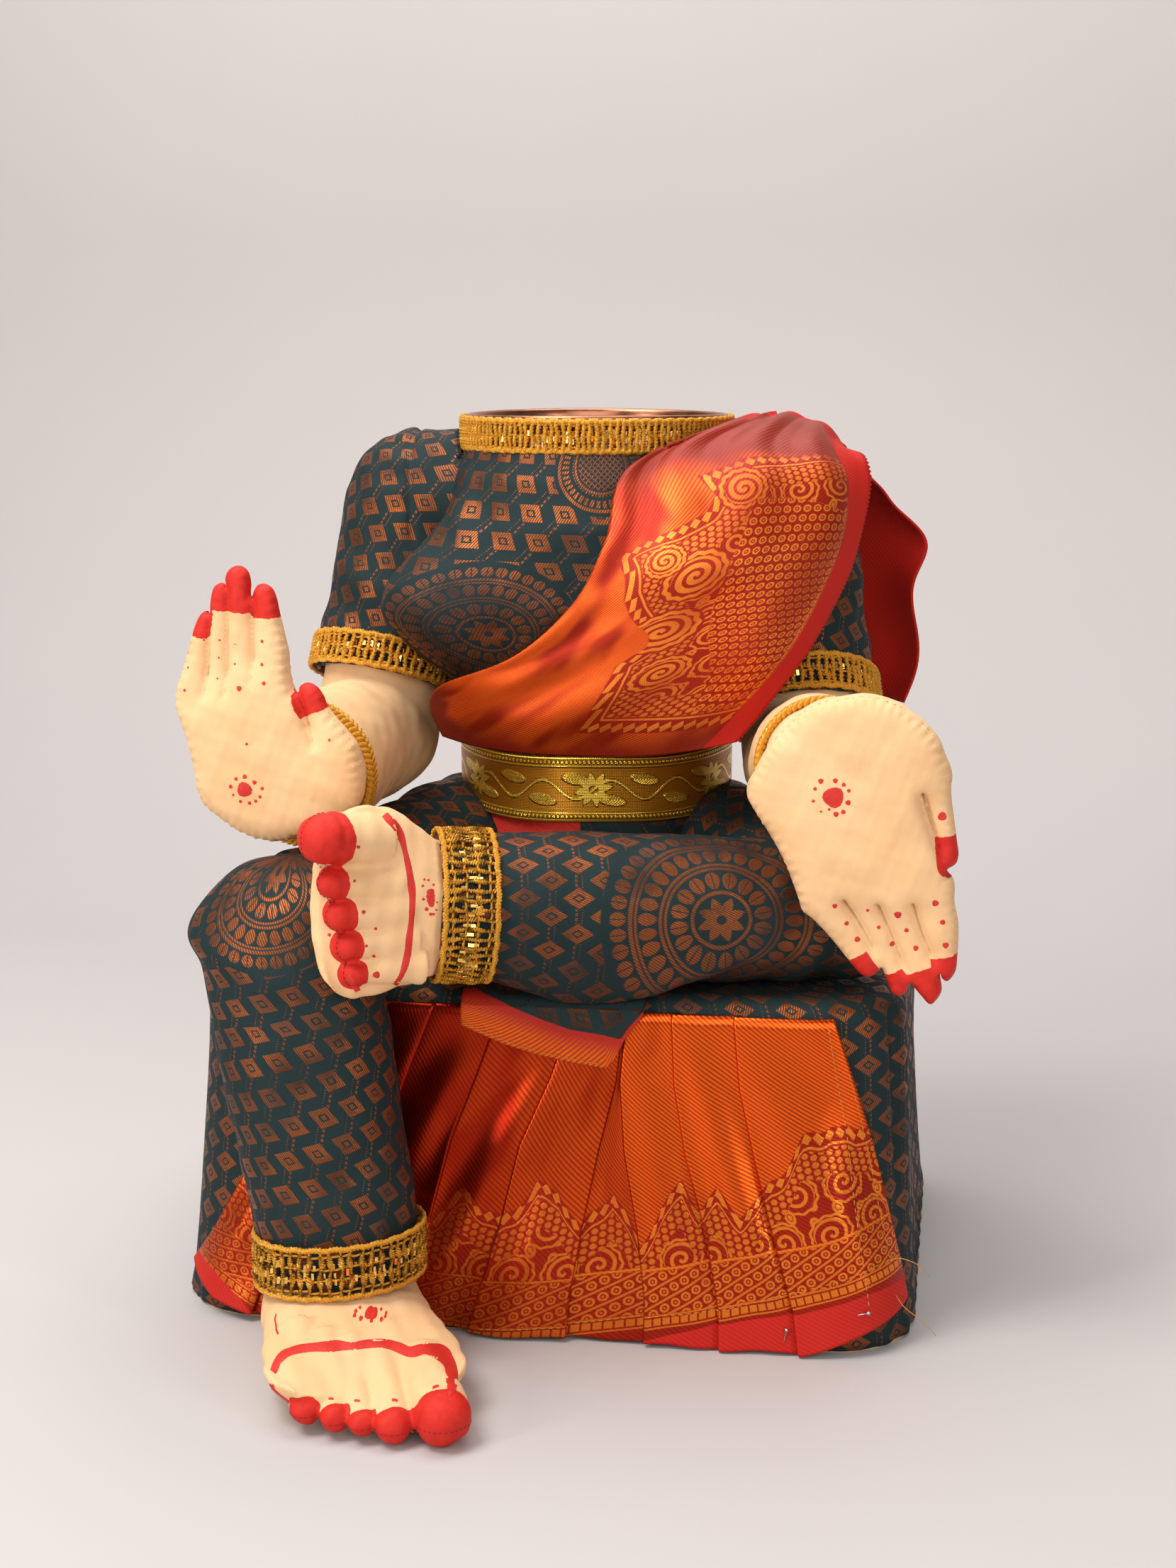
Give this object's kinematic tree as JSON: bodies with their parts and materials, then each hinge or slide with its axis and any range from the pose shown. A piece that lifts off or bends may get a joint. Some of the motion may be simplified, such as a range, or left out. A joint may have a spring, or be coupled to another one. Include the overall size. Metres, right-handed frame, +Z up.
{
  "type": "seated cloth deity doll body",
  "caption": "Stuffed cloth goddess figure without a head, seated on a covered stool with one leg crossed, a copper cup for its neck and forearms that turn at the elbow.",
  "frame": {"origin": "middle of the stool's base, on the floor", "axes": "+Z up, -Y towards the figure's front, +X towards its left side (the viewer's right)"},
  "size_m": [0.3334, 0.3466, 0.3814],
  "materials": {
    "green_brocade": "dark green silk brocade with woven copper diamonds, soft sheen",
    "orange_brocade": "orange and copper silk brocade with a red selvedge, bright sheen",
    "red_cloth": "red brocade, soft sheen",
    "skin_cloth": "matte peach cotton, sewn fingers, red painted tips and dots",
    "gold_lace": "gold metallic crochet lace, glittering",
    "gold_ribbon": "gold zari ribbon with woven flowers",
    "copper": "thin copper sheet, polished",
    "stuffing": "fibre stuffing, not seen",
    "plywood": "bare board, not seen from the front",
    "steel_wire": "plain bright wire"
  },
  "bodies": {
    "seated_figure": {"seat_cover": "green_brocade", "bodice": "green_brocade", "right_sleeve": "green_brocade", "left_sleeve": "green_brocade", "right_thigh": "green_brocade", "left_thigh": "green_brocade", "right_shin": "green_brocade", "left_shin": "green_brocade", "front_flap": "green_brocade", "skirt_pleats": "orange_brocade", "shoulder_drape": "orange_brocade", "waist_wrap": "red_cloth", "right_upper_arm": "skin_cloth", "left_upper_arm": "skin_cloth", "right_foot": "skin_cloth", "left_foot": "skin_cloth", "neck_lace": "gold_lace", "right_sleeve_lace": "gold_lace", "left_sleeve_lace": "gold_lace", "right_ankle_lace": "gold_lace", "left_ankle_lace": "gold_lace", "waist_belt": "gold_ribbon", "neck_cup": "copper", "seat_block": "stuffing", "body_stuffing": "stuffing", "chest_stuffing": "stuffing", "seat_board": "plywood", "right_upper_wire": "steel_wire", "left_upper_wire": "steel_wire"},
    "right_forearm_and_hand": {"right_forearm": "skin_cloth", "right_forearm_wire": "steel_wire", "right_bangle": "gold_lace", "right_hand": "skin_cloth"},
    "left_forearm_and_hand": {"left_forearm": "skin_cloth", "left_forearm_wire": "steel_wire", "left_bangle": "gold_lace", "left_hand": "skin_cloth"}
  },
  "joints": [
    {"name": "right_elbow_turn", "type": "hinge", "parent": "seated_figure", "child": "right_forearm_and_hand", "pos_m": [-0.09841, 0.00024, 0.23704], "axis": [-0.1548, -0.262, -0.9526], "range_deg": [0, 22]},
    {"name": "left_elbow_turn", "type": "hinge", "parent": "seated_figure", "child": "left_forearm_and_hand", "pos_m": [0.0988, 0.00401, 0.22764], "axis": [-0.1471, 0.2101, 0.9665], "range_deg": [0, 20]}
  ]
}
